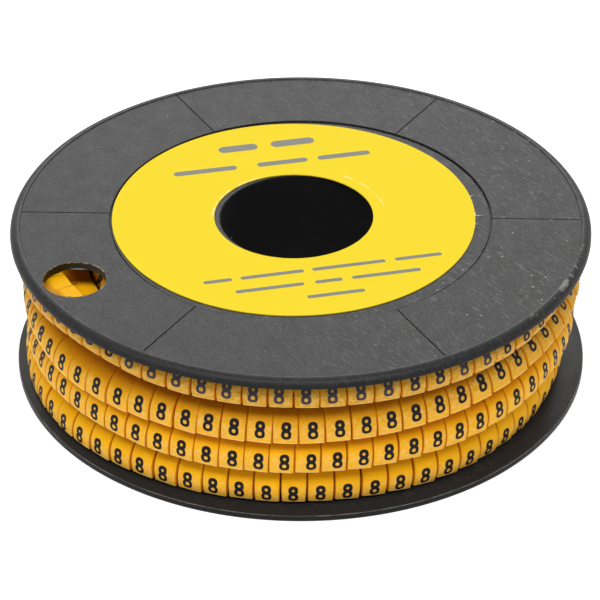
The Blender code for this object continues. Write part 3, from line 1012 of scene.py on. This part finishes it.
def plastic_material():
    """Black moulded plastic: fine grain, dust, grit and scratches; painted shade in the bore and on
    the rim walls, painted highlights along the rims' edges, and painted bounce light on the thread
    hole's wall.
    """
    material, tree, shader = new_material("reel_plastic")
    grain = noise(tree, *PLASTIC_GRAIN)
    base = blend(noise(tree, *PLASTIC_CLOUD), PLASTIC_DARK, PLASTIC_PALE)
    distance, angle, height = distance_from(tree, (0.0, 0.0))
    inside = ramp_mm(distance, BORE_RADIUS + 0.1, BORE_RADIUS + 0.4, 1.0, 0.0)
    # Painted shade: the bore's wall is coloured darker.
    base = blend(product(inside, 0.8), base, PLASTIC_SHADE)
    base = blend(rim_wall_shade(distance, height), base, PLASTIC_SHADE)
    dusty = ramp_mm(height, REEL_HEIGHT - 1.3, REEL_HEIGHT - 0.4, 0.25, 1.0)
    smooth = ramp_mm(distance, RIM_INNER, RIM_INNER + 0.3, 1.0, 0.45)
    dusty = product(dusty, smooth, ramp(inside, 0.0, 1.0, 1.0, 0.1))
    from_right = maths("ABSOLUTE", angle)
    lines = noise(tree, *PLASTIC_LINES, stretched(tree, LINE_SCALE, LINE_TURN), 0.8)
    scratched = ramp(from_right, 0.3, 2.4, 0.24, 0.03)
    scratched = product(ramp(lines, 0.55, 0.68), dusty, scratched)
    gritty = ramp(from_right, 0.5, 1.6, 1.0, 0.15)
    gritty = product(specks(tree, *GRIT_SPECKS), dusty, gritty)
    wall, ragged = hole_bounce_and_wear(tree)
    for share, colour in (
        (scratched, DUST_AND_HIGHLIGHT),
        (product(ramp(grain, 0.40, 0.72, 0.0, 0.09), dusty), DUST_AND_HIGHLIGHT),
        (product(specks(tree, *FINE_SPECKS), dusty, 0.14), DUST_AND_HIGHLIGHT),
        (product(specks(tree, *DUST_SPECKS), 0.8), DUST_AND_HIGHLIGHT),
        (gritty, GRIT),
        # painted highlight lines along the rims, with streaks and patches of wear
        (rim_highlights_and_wear(tree), DUST_AND_HIGHLIGHT),
        # painted bounce light on the thread hole's wall
        (product(wall, 0.85), HOLE_WALL_BOUNCE),
        (product(ragged, 0.5), HOLE_EDGE),
    ):
        base = blend(share, base, colour)
    rough = ramp(noise(tree, *PLASTIC_SCUFF), 0.3, 0.7, 0.42, 0.48)
    rough = maths("ADD", rough, product(inside, 0.4))
    fill(shader, Base_Color=base, Roughness=rough, Specular_IOR_Level=PLASTIC_SPECULAR)
    relief(shader, (grain, 0.6, 0.00004), (lines, 0.35, 0.00005))
    return material


def vinyl_material():
    """Soft yellow vinyl, with a rubbed, paler band where the digits are printed, which is partly
    painted sheen. Painted shade higher up each face, under the upper flange and in the cuts, and a
    painted highlight along each lower edge.
    """
    material, tree, shader = new_material("marker_vinyl")
    along, printed = attribute(tree, "along"), attribute(tree, "print")
    shade, side = attribute(tree, "shade"), attribute(tree, "side")
    mottle, cloud = noise(tree, *VINYL_MOTTLE), noise(tree, *VINYL_CLOUD)
    base = blend(ramp(shade, -1, 1), VINYL_DARK, VINYL_PALE)
    base = blend(ramp(cloud, 0.3, 0.75), base, VINYL_PATCH)
    face = ramp(along, 6.0, 7.4, 1.0, 0.0)
    distance, angle, height = distance_from(tree, (0.0, 0.0))
    outer = ramp_mm(distance, 43, 44)
    # Painted shade: higher up each face, under the turn above, and more so on the upper turns, the
    # vinyl is coloured deep orange.
    higher = ramp_mm(height, 6, 17, 0.1, 1.0)
    upper = product(ramp(along, 2.4, 5.6, 0.0, 0.85), face, higher, outer)
    base = blend(upper, base, VINYL_UPPER_SHADE)
    # Painted shade: the vinyl is darker the higher it is, towards the upper flange's overhang.
    flange_shade = product(ramp_mm(height, 12.5, 22, 0.0, 0.72), face, outer)
    base = blend(flange_shade, base, VINYL_FLANGE_SHADE)
    # The pale band round the digits is rubbed vinyl and partly a painted sheen.
    zone = product(ramp(printed, -0.9, 0.1), ramp(printed, 1.6, 3.6, 1.0, 0.0))
    rubbed = product(zone, ramp(mottle, 0.44, 0.60, 0.02, 0.5))
    around = combined(tree, X=product(angle, VINYL_AROUND), Y=height)
    brushed = ramp(noise(tree, *VINYL_BRUSHED, around, 0.3), 0.48, 0.62, 0.0, 0.62)
    brushed = product(brushed, ramp(along, 0.3, 4.2, 1.0, 0.1), face)
    base = blend(most(rubbed, brushed), base, VINYL_RUBBED_AND_SHEEN)
    # Painted highlight: a pale line along each marker's lower edge.
    lip_highlight = product(ramp(along, -0.05, 0.02), ramp(along, 0.05, 0.2, 1, 0), 0.7)
    base = blend(lip_highlight, base, VINYL_EDGE_HIGHLIGHT)
    # Painted shade in the cuts: the vinyl is deeper orange near each marker's side.
    base = blend(product(ramp(side, 0.90, 0.985), face), base, VINYL_GROOVE_SHADE)
    fill(shader, Base_Color=base, Roughness=ramp(mottle, 0.3, 0.7, 0.42, 0.55))
    fill(shader, Specular_IOR_Level=VINYL_SPECULAR, Subsurface_Weight=0.08)
    fill(shader, Subsurface_Scale=0.0006, Subsurface_Radius=(1.0, 0.5, 0.1))
    relief(shader, (mottle, 0.12, 0.00004), (cloud, 0.10, 0.00012))
    return material


def core_material():
    """The same vinyl, coloured darker and deeper orange as painted shade between the markers."""
    material, tree, shader = new_material("marker_vinyl_core")
    cloud = noise(tree, *CORE_CLOUD)
    fill(shader, Base_Color=blend(cloud, CORE_SHADE_DARK, CORE_SHADE_PALE), Roughness=0.5)
    relief(shader, (cloud, 0.1, 0.0001))
    return material


def ink_material():
    """Black ink with worn spots, greyer on the top turn."""
    material, tree, shader = new_material("marker_ink")
    worn = noise(tree, *INK_SPOTS)
    fade = attribute(tree, "fade")
    thin = product(ramp(worn, 0.58, 0.78), ramp(fade, 0.0, 1.0, 0.05, 0.4))
    base = blend(thin, INK_DARK, INK_WORN)
    base = blend(ramp(fade, 0.99, 1.6, 0.0, 0.5), base, INK_GREY)
    rough = ramp(worn, 0.3, 0.7, 0.42, 0.6)
    fill(shader, Base_Color=base, Roughness=rough, Specular_IOR_Level=INK_SPECULAR)
    return material


def wear_ring(distance, angle, ring):
    """1 in the middle of a ring round the label's hole, between two angles."""
    middle, width, first, last = ring
    off = apart(distance, middle * MM)
    near = ramp_mm(off, 0.2 * width, 0.5 * width, 1.0, 0.0)
    start, end = math.radians(first), math.radians(last)
    after = ramp(angle, start, start + 0.2)
    before = ramp(angle, end - 0.2, end, 1.0, 0.0)
    return product(near, after, before)


def paper_material():
    """Smooth yellow paper, rubbed pale along parts of its edges."""
    material, tree, shader = new_material("label_paper")
    fibre = noise(tree, *PAPER_FIBRE)
    base = blend(noise(tree, *PAPER_CLOUD), PAPER_DARK, PAPER_PALE)
    distance, angle, _ = distance_from(tree, LABEL_HOLE_CENTRE)
    wear = most(*(wear_ring(distance, angle, ring) for ring in LABEL_WEAR))
    broken = ramp(noise(tree, *PAPER_BREAKS), 0.44, 0.54)
    base = blend(product(wear, broken, 0.75), base, PAPER_RUBBED)
    rough = ramp(fibre, 0.3, 0.7, 0.38, 0.5)
    fill(shader, Base_Color=base, Roughness=rough, Specular_IOR_Level=PAPER_SPECULAR)
    relief(shader, (fibre, 0.05, 0.00003))
    return material


def print_material():
    """Thin dark ink on the label, a little uneven."""
    material, tree, shader = new_material("label_ink")
    cloud = noise(tree, *PRINT_CLOUD)
    fill(shader, Base_Color=blend(cloud, PRINT_DARK, PRINT_PALE), Roughness=0.5)
    relief(shader, (cloud, 0.04, 0.00003))
    return material


def plain_material(name, colour, roughness):
    """One colour, for the smallest pieces: the torn threads of the label, and the back sliver of
    flash, whose pale colour is a painted highlight.
    """
    material, _, shader = new_material(name)
    fill(shader, Base_Color=(*colour, 1.0), Roughness=roughness)
    return material


# Pieces


def dress(obj, slot, material, *nodes):
    """Gives a piece its material and body, and hides the solids that it stands for. The slot is not
    used.
    """
    obj.data.materials.clear()
    obj.data.materials.append(material)
    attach(obj, "root")
    if nodes:
        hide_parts(*nodes)


def burr(name, start, end, reach, low, high):
    """A thin sliver of flash on the thread hole's wall, widest at its middle."""
    outer, inner = [], []
    for step in range(BURR_STEPS + 1):
        share = step / BURR_STEPS
        inwards = -reach * math.sin(math.pi * share) - BURR_LEAST
        for side, radius in ((outer, BURR_BITE), (inner, inwards)):
            x, y = polar(THREAD_HOLE_RADIUS + radius, start + (end - start) * share)
            side.append((THREAD_HOLE[0] + x, THREAD_HOLE[1] + y))
    outline = outer + inner[::-1]
    vertices = [(x, y, z) for z in (low, high) for x, y in outline]
    return mesh_object(name, vertices, prism_faces(0, len(outline)))


def build_reel():
    """Both mouldings with their grooves, the thread hole and the flash in it; the back sliver of
    flash is coloured pale as a painted highlight.
    """
    plastic = plastic_material()
    hole = ragged_disc(
        "hole_cutter", THREAD_HOLE_RADIUS, THREAD_HOLE, UPPER_FACE - CUTTER_OVERLAP / 2,
        REEL_HEIGHT + CUTTER_OVERLAP, THREAD_HOLE_SIDES, THREAD_HOLE_ROUGH,
    )
    upper = cut(turned("upper_reel", upper_profile(), REEL_SIDES), groove_cutter(DISC_TOP), hole)
    lower = cut(turned("lower_reel", lower_profile(), REEL_SIDES), groove_cutter(RIM_RISE))
    dress(upper, "reel_plastic", plastic, "upper_flange")
    dress(lower, "reel_plastic", plastic, "lower_flange")
    # The back sliver's pale colour is a painted highlight.
    torn = plain_material("reel_burr_highlight", BURR_HIGHLIGHT, 0.6)
    dress(burr("burr_back_highlight", *BURR_BACK_HIGHLIGHT), "reel_plastic", torn)
    dress(burr("burr_front", *BURR_FRONT), "reel_plastic", plastic)


def build_print(bottom):
    """Plain bars with round ends, lying on the label."""
    cos, sin = polar(1.0, LABEL_TURN)
    vertices, faces = [], []
    for foot, height, bars in LABEL_BARS:
        half = height / 2
        for start, end in bars:
            outline = arc((end - half, foot + half), half, half, -90, 90, BAR_SIDES)
            outline += arc((start + half, foot + half), half, half, 90, 270, BAR_SIDES)
            faces += prism_faces(len(vertices), len(outline))
            for z in (bottom - BAR_LIFT, bottom + BAR_LIFT):
                for x, y in outline:
                    across = LABEL_CENTRE[0] + x * cos - y * sin
                    along = LABEL_CENTRE[1] + x * sin + y * cos
                    vertices.append((across, along, z))
    return mesh_object("label_print", vertices, faces)


def build_frays(height):
    """Short threads of torn paper at the label's edge."""
    vertices, faces = [], []
    for x, y, turn, length in LABEL_FRAYS:
        faces += prism_faces(len(vertices), 3)
        out, side = polar(length, turn), polar(FRAY_WIDTH / 2, turn + 90)
        for lift in FRAY_SPAN:
            vertices.append((x - side[0], y - side[1], height + lift))
            vertices.append((x + side[0], y + side[1], height + lift))
            vertices.append((x + out[0], y + out[1], height + lift))
    return mesh_object("label_frays", vertices, faces)


def build_label():
    """The paper ring, its bars of ink and the threads torn from it."""
    bottom = RECESS_FLOOR + LABEL_SEAT
    top = bottom + LABEL_THICKNESS
    disc = ragged_disc(
        "label", LABEL_RADIUS, LABEL_CENTRE, bottom, top, LABEL_SIDES, LABEL_ROUGH
    )
    hole = ragged_disc(
        "label_hole", LABEL_HOLE_RADIUS, LABEL_HOLE_CENTRE,
        bottom - CUTTER_OVERLAP, top + CUTTER_OVERLAP, LABEL_SIDES, LABEL_HOLE_ROUGH,
    )
    dress(cut(disc, hole), "label_paper", paper_material(), "ring_label")
    dress(build_print(top), "label_paper", print_material())
    torn = plain_material("label_fray", PAPER_TORN, 0.7)
    dress(build_frays(top), "label_paper", torn)


def build_winding():
    """The strip's markers, the winding behind them and the digits on them."""
    markers = outer_markers() + inner_markers()
    strip = build_strip(markers)
    dress(strip, "marker_vinyl", vinyl_material(), "marker_strip")
    dress(build_core(), "marker_vinyl", core_material())
    dress(build_digits(markers), "marker_vinyl", ink_material())


# Studio


def set_camera():
    data = bpy.data.cameras.new("camera")
    data.sensor_width = CAMERA_SENSOR
    data.lens = CAMERA_LENS
    data.clip_start, data.clip_end = CAMERA_CLIP
    camera = new_object("camera", data)
    camera.location = CAMERA_PLACE
    camera.rotation_euler = (math.radians(CAMERA_TILT), 0.0, 0.0)
    bpy.context.scene.camera = camera


def add_lamp(name, place, size, watts):
    """A soft rectangular lamp that points at the middle of the reel."""
    data = bpy.data.lights.new(name, "AREA")
    data.shape = "RECTANGLE"
    data.size, data.size_y = size
    data.energy = watts
    lamp = new_object(name, data)
    lamp.location = place
    direction = Vector(LAMP_AIM) - Vector(place)
    lamp.rotation_euler = direction.to_track_quat("-Z", "Y").to_euler()


def white_for_camera(tree):
    """1 where the background is seen straight, in a reflection or through glass."""
    path = add(tree, "ShaderNodeLightPath").outputs
    return most(path["Is Camera Ray"], path["Is Glossy Ray"], path["Is Transmission Ray"])


def set_world():
    """Faint even light. The background behind everything is white."""
    world = bpy.data.worlds.new("world")
    bpy.context.scene.world = world
    world.use_nodes = True
    tree = world.node_tree
    level = ramp(white_for_camera(tree), 0.0, 1.0, WORLD_LEVEL, 1.0)
    fill(tree.nodes["Background"], Color=WHITE, Strength=level)


def build_floor():
    """A plain pale floor that keeps the object's shadow."""
    half = FLOOR_HALF
    corners = [(-half, -half), (half, -half), (half, half), (-half, half)]
    floor = mesh_object("floor", [(x, y, FLOOR_LEVEL) for x, y in corners], [(0, 1, 2, 3)])
    material, tree, shader = new_material("floor")
    fill(shader, Base_Color=(FLOOR_GREY, FLOOR_GREY, FLOOR_GREY, 1.0), Roughness=0.9)
    glow = ramp(white_for_camera(tree), 0.0, 1.0, FLOOR_BOUNCE, FLOOR_GLOW)
    fill(shader, Specular_IOR_Level=0.1, Emission_Color=WHITE, Emission_Strength=glow)
    floor.data.materials.append(material)


def build_studio():
    set_camera()
    set_world()
    build_floor()
    for lamp in LAMPS:
        add_lamp(*lamp)


bpy.context.scene.view_settings.view_transform = "Standard"
build_studio()
build_reel()
build_label()
build_winding()
